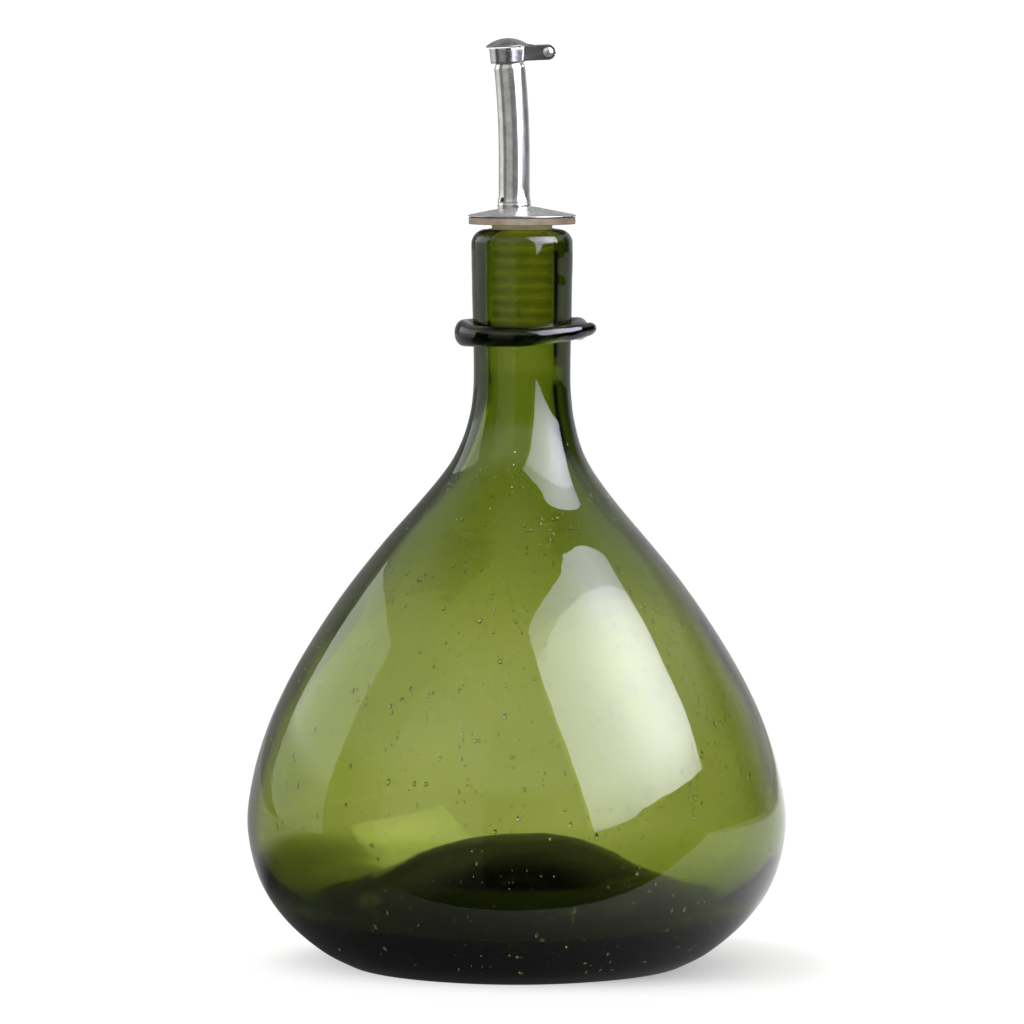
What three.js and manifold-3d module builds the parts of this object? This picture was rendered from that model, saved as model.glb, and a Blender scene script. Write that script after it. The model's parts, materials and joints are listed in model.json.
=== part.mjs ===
// A hand-blown glass oil bottle with a metal pourer whose lid is hinged.
// Millimetres, +Z up. The origin is the centre of the flat ring that the bottle stands on.
// The spout leans towards -X and its hinge is on the +X side.
import * as THREE from 'three';
import { mergeVertices } from 'three/addons/utils/BufferGeometryUtils.js';
import Module from 'manifold-3d';

const wasm = await Module();
wasm.setup();

// ---------- driving dimensions ----------

const GAP = 0.3; // clearance between pieces that touch

// Bottle
const FOOT_INNER_RADIUS = 42;
const FOOT_OUTER_RADIUS = 46.5;
const LIP_TOP = 209.2;
const LIP_RADIUS = 14.4;
const LIP_ROUND = 4.2; // outer edge of the mouth
const LIP_INNER_ROUND = 0.9;
const BORE_RADIUS = 9.2;
const BORE_BOTTOM = 170;
const NECK_LEAN = 1.55; // the neck stands this far to +X of the body's axis
const LEAN_BOTTOM = 120;
const LEAN_TOP = 165;
const BELLY_WALL = 2.8;
const NECK_WALL = 5;
const HEEL_WALL = 2.4; // extra thickness at the heel
const PUNT_HEIGHT = 27.5; // under the bottle
const PUNT_CROWN = 37.2; // the same dome inside the bottle

// Trail of glass round the neck
const TRAIL_HEIGHT = 179.6;
const TRAIL_NECK_RADIUS = 13.95;

// Stopper
const PLUG_BOTTOM = 181;
const PLUG_CORE_RADIUS = 8.35;
const RIB_RADIUS = BORE_RADIUS - GAP;
const RIB_PITCH = 3.4;
const RIB_COUNT = 8;
const FLANGE_RADIUS = 15.1;
const FLANGE_BOTTOM = 210.5;
const FLANGE_EDGE = 1.9;

// Drip disc
const DISC_RADIUS = 15.25;
const SHEET = 0.5;
const DISC_RISE = 2.3;
const DISC_HUB_RADIUS = 3.4; // where the cone turns level

// Pour tube
const TUBE_OFFSET = -2.2; // from the neck's axis
const TUBE_RADIUS = 4.4;
const TUBE_WALL = 0.6;
const TUBE_BOTTOM = 179.4;
const TUBE_TOP = 260.2; // measured along the tube before it is bent
const BEND_START = 229;
const BEND_RADIUS = 250;
const BEAD_RADIUS = 4.85;
const BEAD_HEIGHT = 216.4;

// Collar round the tip, with the two ears of the hinge
const COLLAR_HEIGHT = 4.3;
const COLLAR_TOP_RADIUS = 5.15;
const COLLAR_BOTTOM_RADIUS = 4.85;
const COLLAR_BORE_RADIUS = 4.5;
const TIP_RADIUS = 3.85; // the tube is drawn in under the collar
const TIP_TILT = 2.3; // degrees that the collar and the lid lean towards -X, less than the tube
const EAR_HALF_HEIGHT = 2.2;
const EAR_SHEET = 0.6;
const EAR_INNER_FACE = 2.2;
const PIVOT_X = 11.4; // from the middle of the tip
const PIVOT_Z = -1.6; // from the tube's tip

// Rivet and lid
const PIN_RADIUS = 0.75;
const RIVET_HEAD_RADIUS = 1.4;
const RIVET_HEAD_HEIGHT = 0.55;
const LID_RADIUS = 5.9;
const LID_DOME = 2.0;
const KNUCKLE_RADIUS = 1.6;

// Breather tube
const VENT_RADIUS = 1;
const VENT_WALL = 0.4;
const VENT_OFFSET = -1.9; // from the pour tube's axis
const VENT_BOTTOM = 177;
const VENT_BEND_START = 215;
const VENT_BEND_RADIUS = 4;
const VENT_BEND_LENGTH = 2.4;
const VENT_HOLE_HEIGHT = 217.4; // the hole in the pour tube that it opens into
const VENT_HOLE_RADIUS = 0.8;
const VENT_TURN = 40; // degrees round the tube from -X towards the front

// Roundness
const BODY_SIDES = 40;
const PLUG_SIDES = 28;
const TUBE_SIDES = 20;
const PIN_SIDES = 12;

// ---------- materials ----------

const finish = (color, roughness, metalness, extra = {}) =>
  new THREE.MeshStandardMaterial({ color, roughness, metalness, ...extra });

const greenGlass = () => finish(0x5f7a1c, 0.05, 0, { transparent: true, opacity: 0.75 });
const darkGlass = () => finish(0x24330f, 0.05, 0, { transparent: true, opacity: 0.9 });
const plastic = () => finish(0xb9a98c, 0.55, 0);
const steel = () => finish(0xb4b1ae, 0.25, 1);
const darkSteel = () => finish(0x5a5a5c, 0.4, 1);

// ---------- helpers ----------

// One closed mesh with shared corners and no flat triangles.
function weld(geometry) {
  const bare = geometry.index ? geometry.toNonIndexed() : geometry.clone();
  bare.deleteAttribute('normal');
  bare.deleteAttribute('uv');
  const merged = mergeVertices(bare, 1e-4);
  const index = merged.index.array;
  const kept = [];
  for (let i = 0; i < index.length; i += 3) {
    const [a, b, c] = [index[i], index[i + 1], index[i + 2]];
    if (a !== b && b !== c && c !== a) kept.push(a, b, c);
  }
  merged.setIndex(kept);
  return merged;
}

function solid(geometry) {
  const welded = weld(geometry);
  const vertProperties = new Float32Array(welded.attributes.position.array);
  const triVerts = new Uint32Array(welded.index.array);
  return new wasm.Manifold(new wasm.Mesh({ numProp: 3, vertProperties, triVerts }));
}

function geometryOf(body) {
  const mesh = body.getMesh();
  const geometry = new THREE.BufferGeometry();
  geometry.setAttribute('position', new THREE.BufferAttribute(mesh.vertProperties, 3));
  geometry.setIndex(new THREE.BufferAttribute(mesh.triVerts, 1));
  geometry.computeVertexNormals();
  return geometry;
}

// Turns an outline of [radius, height] points round the Z axis.
function turned(outline, sides) {
  const points = outline.map(([radius, height]) => new THREE.Vector2(radius, height));
  return new THREE.LatheGeometry(points, sides).rotateX(Math.PI / 2);
}

// An outline that comes back to its first point.
const closed = (outline) => [...outline, outline[0]];

// A solid rod along Z between two heights.
function rod(radius, bottom, top, sides) {
  const cylinder = new THREE.CylinderGeometry(radius, radius, top - bottom, sides);
  return cylinder.rotateX(Math.PI / 2).translate(0, 0, (bottom + top) / 2);
}

// Points of a smooth curve through [radius, height] points, as even steps.
function smooth(points, steps) {
  const curve = new THREE.SplineCurve(points.map(([r, z]) => new THREE.Vector2(r, z)));
  return curve.getSpacedPoints(steps).map((p) => [p.x, p.y]);
}

// Points of an arc round a centre, angles in degrees.
function arc(centreR, centreZ, radius, from, to, steps) {
  const points = [];
  for (let i = 0; i <= steps; i += 1) {
    const angle = THREE.MathUtils.degToRad(from + ((to - from) * i) / steps);
    points.push([centreR + radius * Math.cos(angle), centreZ + radius * Math.sin(angle)]);
  }
  return points;
}

function moveVertices(geometry, move) {
  const position = geometry.attributes.position;
  const point = new THREE.Vector3();
  for (let i = 0; i < position.count; i += 1) {
    point.fromBufferAttribute(position, i);
    move(point);
    position.setXYZ(i, point.x, point.y, point.z);
  }
  return geometry;
}

const root = new THREE.Group();

function add(parent, name, geometry, material) {
  const mesh = new THREE.Mesh(geometry, material);
  mesh.name = name;
  parent.add(mesh);
  return mesh;
}

// ---------- bottle ----------

const BODY_CURVE = [
  [FOOT_OUTER_RADIUS, 0],
  [56.3, 5.2],
  [66.4, 14.2],
  [73.3, 25.2],
  [76.5, 39.5],
  [75.1, 53],
  [71.2, 66.5],
  [65.2, 80],
  [57.4, 93.5],
  [48.3, 107],
  [38, 120],
  [26.5, 133.4],
  [19.1, 143.7],
  [15.5, 153],
  [13.9, 162.5],
  [13.75, 175],
  [14.1, 190],
  [LIP_RADIUS, LIP_TOP - LIP_ROUND],
];

// Wall thickness at a height: thin at the belly, thick at the neck and the heel.
function wallAt(height) {
  const neck = THREE.MathUtils.smoothstep(height, 85, 165);
  const heel = 1 - THREE.MathUtils.smoothstep(height, 8, 36);
  return BELLY_WALL + (NECK_WALL - BELLY_WALL) * neck + HEEL_WALL * heel;
}

// The inner wall: the outer curve moved inwards by the wall's thickness.
function innerWall(outer, lowest, highest) {
  const points = [];
  for (let i = 1; i < outer.length - 1; i += 1) {
    const [r, z] = outer[i];
    const along = [outer[i + 1][0] - outer[i - 1][0], outer[i + 1][1] - outer[i - 1][1]];
    const length = Math.hypot(...along);
    const wall = wallAt(z);
    const inner = [r - (wall * along[1]) / length, z + (wall * along[0]) / length];
    if (inner[1] > lowest && inner[1] < highest) points.push(inner);
  }
  return points.reverse();
}

function bottleGeometry() {
  const underside = smooth([
    [0, PUNT_HEIGHT],
    [14, 25.6],
    [28, 18.6],
    [37.5, 8.5],
    [FOOT_INNER_RADIUS, 0],
  ], 6);
  const outer = smooth(BODY_CURVE, 26);
  const lipCentre = LIP_RADIUS - LIP_ROUND;
  const lip = arc(lipCentre, LIP_TOP - LIP_ROUND, LIP_ROUND, 18, 90, 4);
  const mouthCentre = BORE_RADIUS + LIP_INNER_ROUND;
  const mouth = arc(mouthCentre, LIP_TOP - LIP_INNER_ROUND, LIP_INNER_ROUND, 120, 180, 2);
  const inner = innerWall(outer, 24, BORE_BOTTOM - 2);
  const floor = smooth([
    [67.3, 22.5],
    [64.7, 18.9],
    [61, 15.6],
    [56.8, 13.8],
    [52.1, 15.6],
    [46.5, 20],
    [36, 26.6],
    [26, 31.9],
    [14, 35.9],
    [0, PUNT_CROWN],
  ], 11);
  const outline = [
    ...underside,
    ...outer,
    ...lip,
    ...mouth,
    [BORE_RADIUS, BORE_BOTTOM],
    ...inner,
    ...floor,
  ];
  outline[0][0] = 0;
  outline[outline.length - 1][0] = 0;
  return moveVertices(turned(outline, BODY_SIDES), (point) => {
    point.x += NECK_LEAN * THREE.MathUtils.smoothstep(point.z, LEAN_BOTTOM, LEAN_TOP);
  });
}

add(root, 'bottle', bottleGeometry(), greenGlass());

// Everything on the neck is built round the neck's own axis.
const neck = new THREE.Group();
neck.position.x = NECK_LEAN;
root.add(neck);

// ---------- trail of glass round the neck ----------

// Stations along the trail: angle from +X in degrees, middle height above TRAIL_HEIGHT,
// half height, thickness, and how far its inner side stands off the neck.
const TRAIL = [
  { angle: -38, rise: 0.6, half: 1.1, thick: 1.4, off: 0 },
  { angle: -12, rise: 1.0, half: 2.7, thick: 4.2, off: 0 },
  { angle: 20, rise: 1.1, half: 3.3, thick: 5.2, off: 0 },
  { angle: 90, rise: 0.5, half: 3.5, thick: 5.0, off: 0 },
  { angle: 180, rise: 0.1, half: 3.8, thick: 5.0, off: 0 },
  { angle: 222, rise: -0.4, half: 3.1, thick: 4.7, off: 0 },
  { angle: 270, rise: -0.4, half: 2.7, thick: 4.5, off: 0 },
  { angle: 312, rise: 0.4, half: 2.5, thick: 4.2, off: 0.7 },
  { angle: 336, rise: 1.1, half: 2.1, thick: 3.6, off: 2.5 },
  { angle: 348, rise: 1.4, half: 1.8, thick: 2.9, off: 4.0 },
  { angle: 355, rise: 1.5, half: 1.3, thick: 2.0, off: 4.9 },
  { angle: 359, rise: 1.5, half: 0.6, thick: 0.9, off: 5.6 },
];
const TRAIL_CURVE_SEGMENTS = 6;

// One value of the trail at an angle, eased between its stations.
function trailAt(angle, key) {
  let i = 0;
  while (i < TRAIL.length - 2 && angle > TRAIL[i + 1].angle) i += 1;
  const share = (angle - TRAIL[i].angle) / (TRAIL[i + 1].angle - TRAIL[i].angle);
  const eased = THREE.MathUtils.smoothstep(share, 0, 1);
  return THREE.MathUtils.lerp(TRAIL[i][key], TRAIL[i + 1][key], (share + eased) / 2);
}

// The stretch of the trail between two angles, as a closed solid.
function trailStretch(from, to, steps) {
  const section = new THREE.Shape();
  section.absarc(0, 0, 1, 0, 2 * Math.PI);
  const straight = new THREE.LineCurve3(new THREE.Vector3(0, 0, 0), new THREE.Vector3(0, 0, 1));
  const bar = new THREE.ExtrudeGeometry(section, {
    steps,
    extrudePath: straight,
    curveSegments: TRAIL_CURVE_SEGMENTS,
  });
  return solid(moveVertices(bar, (point) => {
    const angle = from + (to - from) * point.z;
    const turn = THREE.MathUtils.degToRad(angle);
    const half = trailAt(angle, 'half');
    const thick = trailAt(angle, 'thick');
    const middle = TRAIL_NECK_RADIUS + GAP + trailAt(angle, 'off') + thick / 2;
    const radius = middle + (point.x * thick) / 2;
    const height = TRAIL_HEIGHT + trailAt(angle, 'rise') - point.y * half;
    point.set(radius * Math.cos(turn), radius * Math.sin(turn), height);
  }));
}

const firstAngle = TRAIL[0].angle;
const lastAngle = TRAIL[TRAIL.length - 1].angle;
const trail = trailStretch(firstAngle, 180, 18).add(trailStretch(180, lastAngle, 16));
add(neck, 'neck_ring', geometryOf(trail), darkGlass());

// ---------- stopper ----------

// The hole that the pour tube passes through, off centre.
const tubeHole = solid(
  rod(TUBE_RADIUS + GAP, TUBE_BOTTOM - 10, BEAD_HEIGHT, TUBE_SIDES).translate(TUBE_OFFSET, 0, 0),
);

const flangeTop = FLANGE_BOTTOM + FLANGE_EDGE;

function stopperGeometry() {
  const ribs = [];
  for (let i = 0; i < RIB_COUNT; i += 1) {
    const z = PLUG_BOTTOM + 1 + i * RIB_PITCH;
    ribs.push([PLUG_CORE_RADIUS, z], [RIB_RADIUS, z + 1.2], [RIB_RADIUS, z + 1.7]);
    ribs.push([PLUG_CORE_RADIUS, z + 2.1]);
  }
  const outline = [
    [0, PLUG_BOTTOM],
    [PLUG_CORE_RADIUS - 0.8, PLUG_BOTTOM],
    ...ribs,
    [PLUG_CORE_RADIUS + 0.3, FLANGE_BOTTOM],
    [FLANGE_RADIUS, FLANGE_BOTTOM],
    [FLANGE_RADIUS, flangeTop],
    [DISC_HUB_RADIUS, flangeTop + DISC_RISE],
    [0, flangeTop + DISC_RISE],
  ];
  return geometryOf(solid(turned(outline, PLUG_SIDES)).subtract(tubeHole));
}

add(neck, 'stopper', stopperGeometry(), plastic());

// ---------- drip disc ----------

const discBottom = flangeTop + GAP;

function discGeometry() {
  const outline = [
    [0, discBottom + DISC_RISE],
    [DISC_HUB_RADIUS, discBottom + DISC_RISE],
    [DISC_RADIUS, discBottom],
    [DISC_RADIUS, discBottom + SHEET],
    [DISC_HUB_RADIUS, discBottom + DISC_RISE + SHEET],
    [0, discBottom + DISC_RISE + SHEET],
  ];
  return geometryOf(solid(turned(outline, PLUG_SIDES)).subtract(tubeHole));
}

add(neck, 'drip_disc', discGeometry(), steel());

// ---------- pour tube ----------

const tube = new THREE.Group();
tube.position.x = TUBE_OFFSET;
neck.add(tube);

const ventTurn = THREE.MathUtils.degToRad(VENT_TURN);

// Bends whatever stands above a height towards -X, along a round arc.
function bendAbove(geometry, start, radius) {
  const bent = moveVertices(geometry, (point) => {
    if (point.z <= start) return;
    const turn = (point.z - start) / radius;
    const reach = radius + point.x;
    point.x = reach * Math.cos(turn) - radius;
    point.z = start + reach * Math.sin(turn);
  });
  bent.computeVertexNormals();
  return bent;
}

function pourTubeGeometry() {
  const inside = TUBE_RADIUS - TUBE_WALL;
  const collarBottom = TUBE_TOP - COLLAR_HEIGHT;
  const bead = arc(TUBE_RADIUS, BEAD_HEIGHT, BEAD_RADIUS - TUBE_RADIUS, -90, 90, 4);
  const shaft = [];
  for (let i = 0; i <= 6; i += 1) {
    shaft.push([TUBE_RADIUS, THREE.MathUtils.lerp(BEND_START, collarBottom - 0.8, i / 6)]);
  }
  const bore = shaft.map(([, z]) => [inside, z]).reverse();
  const outline = closed([
    [TUBE_RADIUS, TUBE_BOTTOM],
    ...bead,
    ...shaft,
    [TIP_RADIUS, collarBottom - 0.2],
    [TIP_RADIUS, TUBE_TOP],
    [TIP_RADIUS - TUBE_WALL, TUBE_TOP],
    [TIP_RADIUS - TUBE_WALL, collarBottom - 0.2],
    ...bore,
    [inside, TUBE_BOTTOM],
  ]);
  const vent = rod(VENT_HOLE_RADIUS, 0, 2 * TUBE_RADIUS, PIN_SIDES);
  vent.rotateY(-Math.PI / 2).translate(0, 0, VENT_HOLE_HEIGHT).rotateZ(ventTurn);
  const drilled = solid(turned(outline, TUBE_SIDES)).subtract(solid(vent));
  return bendAbove(geometryOf(drilled), BEND_START, BEND_RADIUS);
}

add(tube, 'pour_tube', pourTubeGeometry(), steel());

// ---------- breather tube ----------

function ventTubeGeometry() {
  const inside = VENT_RADIUS - VENT_WALL;
  const rings = [];
  for (let i = 0; i <= 3; i += 1) {
    rings.push([VENT_RADIUS, VENT_BEND_START + (VENT_BEND_LENGTH * i) / 3]);
  }
  const bore = rings.map(([, z]) => [inside, z]).reverse();
  const outline = closed([[VENT_RADIUS, VENT_BOTTOM], ...rings, ...bore, [inside, VENT_BOTTOM]]);
  const straight = turned(outline, PIN_SIDES);
  const bent = bendAbove(straight, VENT_BEND_START, VENT_BEND_RADIUS);
  return bent.translate(VENT_OFFSET, 0, 0).rotateZ(ventTurn);
}

add(tube, 'vent_tube', ventTubeGeometry(), steel());

// ---------- tip of the spout: collar, rivet and lid ----------

// The tip's own axes: origin at the middle of the tube's end, Z square to the lid.
const tipTurn = (TUBE_TOP - BEND_START) / BEND_RADIUS;
const tip = new THREE.Group();
tip.position.x = BEND_RADIUS * (Math.cos(tipTurn) - 1);
tip.position.z = BEND_START + BEND_RADIUS * Math.sin(tipTurn);
tip.rotation.y = -THREE.MathUtils.degToRad(TIP_TILT);
tube.add(tip);

// A plate in the XZ plane, between two distances along Y.
function plate(shape, fromY, toY, curveSegments = 8) {
  const slab = new THREE.ExtrudeGeometry(shape, {
    depth: toY - fromY,
    bevelEnabled: false,
    curveSegments,
  });
  return slab.rotateX(Math.PI / 2).translate(0, toY, 0);
}

function pinHole(radius) {
  const hole = rod(radius, -10, 10, PIN_SIDES).rotateX(Math.PI / 2);
  return solid(hole.translate(PIVOT_X, 0, PIVOT_Z));
}

function collarGeometry() {
  const inside = COLLAR_BORE_RADIUS;
  const band = closed([
    [inside, -COLLAR_HEIGHT],
    [COLLAR_BOTTOM_RADIUS, -COLLAR_HEIGHT],
    [COLLAR_TOP_RADIUS, -0.3],
    [COLLAR_TOP_RADIUS - 0.15, 0],
    [inside, 0],
  ]);
  const ear = new THREE.Shape();
  ear.moveTo(COLLAR_BOTTOM_RADIUS - 2, PIVOT_Z - EAR_HALF_HEIGHT);
  ear.absarc(PIVOT_X, PIVOT_Z, EAR_HALF_HEIGHT, -Math.PI / 2, Math.PI / 2);
  ear.lineTo(LID_RADIUS + 1.1, PIVOT_Z + EAR_HALF_HEIGHT);
  ear.lineTo(LID_RADIUS + GAP, 0);
  ear.lineTo(COLLAR_BOTTOM_RADIUS - 2, 0);
  ear.closePath();
  const outerFace = EAR_INNER_FACE + EAR_SHEET;
  const ears = solid(plate(ear, EAR_INNER_FACE, outerFace))
    .add(solid(plate(ear, -outerFace, -EAR_INNER_FACE)))
    .subtract(solid(rod(inside + 0.1, -10, 10, TUBE_SIDES)));
  const collar = solid(turned(band, TUBE_SIDES)).add(ears).subtract(pinHole(PIN_RADIUS + GAP));
  return geometryOf(collar);
}

add(tip, 'tip_collar', collarGeometry(), darkSteel());

function rivetGeometry() {
  const shank = EAR_INNER_FACE + EAR_SHEET + GAP;
  const end = shank + RIVET_HEAD_HEIGHT;
  const outline = [
    [0, -end],
    [RIVET_HEAD_RADIUS - 0.5, -end],
    [RIVET_HEAD_RADIUS, -end + 0.3],
    [RIVET_HEAD_RADIUS, -shank],
    [PIN_RADIUS, -shank],
    [PIN_RADIUS, shank],
    [RIVET_HEAD_RADIUS, shank],
    [RIVET_HEAD_RADIUS, end - 0.3],
    [RIVET_HEAD_RADIUS - 0.5, end],
    [0, end],
  ];
  return turned(outline, PIN_SIDES).rotateX(Math.PI / 2);
}

add(tip, 'hinge_rivet', rivetGeometry(), steel()).position.set(PIVOT_X, 0, PIVOT_Z);

function lidGeometry() {
  const rim = GAP;
  const capRadius = (LID_RADIUS ** 2 + LID_DOME ** 2) / (2 * LID_DOME);
  const capAngle = THREE.MathUtils.radToDeg(Math.asin(LID_RADIUS / capRadius));
  const crown = rim + SHEET + LID_DOME;
  const top = arc(0, crown - capRadius, capRadius, 90 - capAngle, 90, 7);
  const under = arc(0, crown - SHEET - capRadius, capRadius, 90, 90 - capAngle, 7);
  under[0][0] = 0;
  top[top.length - 1][0] = 0;
  const dome = solid(turned([...under, ...top], TUBE_SIDES));

  const halfWidth = EAR_INNER_FACE - GAP;
  const strap = new THREE.Shape();
  strap.moveTo(LID_RADIUS - 1.2, rim);
  strap.lineTo(6.6, rim);
  strap.lineTo(PIVOT_X - 1.2, PIVOT_Z + 0.2);
  strap.lineTo(PIVOT_X, PIVOT_Z + 0.2);
  strap.lineTo(PIVOT_X + 0.4, PIVOT_Z + KNUCKLE_RADIUS - 0.1);
  strap.lineTo(7.4, rim + SHEET + 0.3);
  strap.lineTo(LID_RADIUS - 1.2, rim + SHEET + 0.4);
  strap.closePath();
  const knuckle = rod(KNUCKLE_RADIUS, -halfWidth, halfWidth, PIN_SIDES).rotateX(Math.PI / 2);
  knuckle.translate(PIVOT_X, 0, PIVOT_Z);
  const lid = dome
    .add(solid(plate(strap, -halfWidth, halfWidth)))
    .add(solid(knuckle))
    .subtract(pinHole(PIN_RADIUS + GAP));
  return geometryOf(lid);
}

add(tip, 'flap_lid', lidGeometry(), darkSteel());

export default root;
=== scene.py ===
import json
import math
import random

import bmesh
import bpy
import numpy as np
from mathutils import Matrix, Vector, noise


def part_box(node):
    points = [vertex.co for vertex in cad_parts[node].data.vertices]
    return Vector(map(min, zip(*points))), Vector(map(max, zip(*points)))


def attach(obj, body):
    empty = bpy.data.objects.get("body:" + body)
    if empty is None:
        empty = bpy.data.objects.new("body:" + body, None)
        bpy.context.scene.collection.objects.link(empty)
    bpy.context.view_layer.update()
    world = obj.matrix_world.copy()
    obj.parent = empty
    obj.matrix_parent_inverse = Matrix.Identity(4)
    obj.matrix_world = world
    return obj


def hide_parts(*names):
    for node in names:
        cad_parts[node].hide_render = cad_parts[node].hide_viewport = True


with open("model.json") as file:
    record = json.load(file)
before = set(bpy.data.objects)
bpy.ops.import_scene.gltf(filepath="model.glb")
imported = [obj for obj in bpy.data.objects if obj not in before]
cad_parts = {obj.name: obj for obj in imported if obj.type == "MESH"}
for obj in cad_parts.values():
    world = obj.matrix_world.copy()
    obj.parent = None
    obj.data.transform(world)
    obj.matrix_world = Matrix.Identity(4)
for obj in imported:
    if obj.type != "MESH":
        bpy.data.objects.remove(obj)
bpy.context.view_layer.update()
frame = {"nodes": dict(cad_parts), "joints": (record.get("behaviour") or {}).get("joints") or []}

# A hand-blown glass oil bottle with a hinged-lid pourer. Metres, +Z up.
scene = bpy.context.scene
MM = 0.001


# ---------- sizes, from the frame and the driving dimensions of the part ----------

def middle(node):
    """The middle of a CAD node's box."""
    low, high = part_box(node)
    return (low + high) / 2


bottle_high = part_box("bottle")[1]
disc_low, disc_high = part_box("drip_disc")
stopper_low, stopper_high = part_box("stopper")
tube_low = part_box("pour_tube")[0]
ring_low, ring_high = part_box("neck_ring")
rivet_low, rivet_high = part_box("hinge_rivet")

LIP_TOP = bottle_high.z
NECK_X = middle("drip_disc").x
DISC_RADIUS = (disc_high.x - disc_low.x) / 2
HINGE = Vector(next(j for j in frame["joints"] if j["name"] == "lid_hinge")["pos_m"])

LIP_RADIUS = 14.4 * MM  # outside of the neck at the lip
LIP_ROUND = 4.2 * MM
MOUTH_ROUND = 0.9 * MM
BORE_RADIUS = 9.2 * MM
BORE_BOTTOM = 170 * MM
FLOOR_JOIN = 24 * MM  # where the wall inside meets the floor
LEAN_BOTTOM = 120 * MM
LEAN_TOP = 165 * MM
BELLY_WALL = 2.8 * MM
NECK_WALL = 5.0 * MM
HEEL_WALL = 2.4 * MM  # more than at the belly

# The outside of the body as radius and height, from the foot to the lip.
BODY = [
    (46.5, 0), (56.3, 5.2), (66.4, 14.2), (73.3, 25.2), (76.5, 39.5), (75.1, 53),
    (71.2, 66.5), (65.2, 80), (57.4, 93.5), (48.3, 107), (38, 120), (26.5, 133.4),
    (19.1, 143.7), (15.5, 153), (13.9, 162.5), (13.75, 175), (14.1, 190), (14.4, 205),
]
# The inside of the base, from the heel over the trough to the crown of the punt.
FLOOR = [
    (67.3, 22.5), (64.7, 18.9), (61, 15.6), (56.8, 13.8), (52.1, 15.6), (46.5, 20),
    (36, 26.6), (26, 31.9), (14, 35.9), (0, 37.2),
]
# The underside, from the crown of the punt to the foot.
UNDERSIDE = [(0, 27.5), (14, 25.6), (28, 18.6), (37.5, 8.5), (41.4, 1.2), (43, 0)]


# ---------- geometry helpers ----------

def smoothstep(x, low, high):
    """0 below the low value, 1 above the high one, and a smooth rise between."""
    t = min(1.0, max(0.0, (x - low) / (high - low)))
    return t * t * (3 - 2 * t)


def lerp(a, b, t):
    return a + (b - a) * t


def spline(points, steps, unit=MM):
    """Even steps along a smooth curve through (radius, height) points."""
    p = np.array(points, float) * unit
    p = np.vstack([2 * p[0] - p[1], p, 2 * p[-1] - p[-2]])
    fine = []
    for i in range(1, len(p) - 2):
        for t in np.linspace(0, 1, 40, endpoint=False):
            a, b, c, d = p[i - 1], p[i], p[i + 1], p[i + 2]
            fine.append(0.5 * (2 * b + (c - a) * t + (2 * a - 5 * b + 4 * c - d) * t ** 2
                               + (3 * b - a - 3 * c + d) * t ** 3))
    fine.append(p[-2])
    fine = np.array(fine)
    run = np.concatenate([[0], np.cumsum(np.linalg.norm(np.diff(fine, axis=0), axis=1))])
    even = np.linspace(0, run[-1], steps + 1)
    return np.column_stack([np.interp(even, run, fine[:, k]) for k in (0, 1)])


def arc(centre, radius, start, end, steps):
    """Points of an arc, angles in degrees."""
    a = np.radians(np.linspace(start, end, steps + 1))
    return np.column_stack([centre[0] + radius * np.cos(a), centre[1] + radius * np.sin(a)])


def rounded(corners, radius, steps=4, closed=True):
    """An outline whose corners are rounded off."""
    c = [np.array(p, float) for p in corners]
    out = []
    for i, here in enumerate(c):
        if not closed and i in (0, len(c) - 1):
            out.append(here)
            continue
        before, after = c[i - 1] - here, c[(i + 1) % len(c)] - here
        reach = min(radius, 0.45 * np.linalg.norm(before), 0.45 * np.linalg.norm(after))
        a = here + before / np.linalg.norm(before) * reach
        b = here + after / np.linalg.norm(after) * reach
        for t in np.linspace(0, 1, steps + 1):
            out.append(a * (1 - t) ** 2 + here * 2 * t * (1 - t) + b * t ** 2)
    return np.array(out)


def new_object(name, vertices, faces, sharp=None):
    """A smooth mesh, with hard edges where it turns by more than so many degrees."""
    mesh = bpy.data.meshes.new(name)
    mesh.from_pydata([tuple(v) for v in vertices], [], faces)
    mesh.shade_smooth()
    if sharp is not None:
        mesh.set_sharp_from_angle(angle=math.radians(sharp))
    piece = bpy.data.objects.new(name, mesh)
    scene.collection.objects.link(piece)
    return piece


ON_AXIS = 1e-9  # a smaller radius than this is a point on the axis


def turned(outline, sides, closed=False):
    """Vertices and faces of an outline turned round Z, its outside on the outside."""
    vertices, rings = [], []
    for r, z in outline:
        if r < ON_AXIS:
            rings.append([len(vertices)])
            vertices.append((0.0, 0.0, z))
            continue
        rings.append(list(range(len(vertices), len(vertices) + sides)))
        for k in range(sides):
            a = 2 * math.pi * k / sides
            vertices.append((r * math.cos(a), r * math.sin(a), z))
    faces = []
    pairs = list(zip(rings, rings[1:]))
    if closed:
        pairs.append((rings[-1], rings[0]))
    for low, high in pairs:
        for k in range(sides):
            m = (k + 1) % sides
            if len(low) == 1:
                faces.append((low[0], high[m], high[k]))
            elif len(high) == 1:
                faces.append((low[k], low[m], high[0]))
            else:
                faces.append((low[k], low[m], high[m], high[k]))
    return np.array(vertices), faces


def bake(piece, sharp=None):
    """Turns the modifiers of a piece into its mesh."""
    graph = bpy.context.evaluated_depsgraph_get()
    mesh = bpy.data.meshes.new_from_object(piece.evaluated_get(graph))
    piece.modifiers.clear()
    piece.data = mesh
    mesh.shade_smooth()
    if sharp is not None:
        mesh.set_sharp_from_angle(angle=math.radians(sharp))
    return piece


def boolean(piece, other, operation, sharp=30):
    """Joins another solid to a piece or cuts it out, and uses the other up."""
    modifier = piece.modifiers.new("join", "BOOLEAN")
    modifier.operation = operation
    modifier.solver = "EXACT"
    modifier.object = other
    bake(piece, sharp)
    bpy.data.objects.remove(other)
    return piece


# ---------- node helpers for materials ----------

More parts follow.
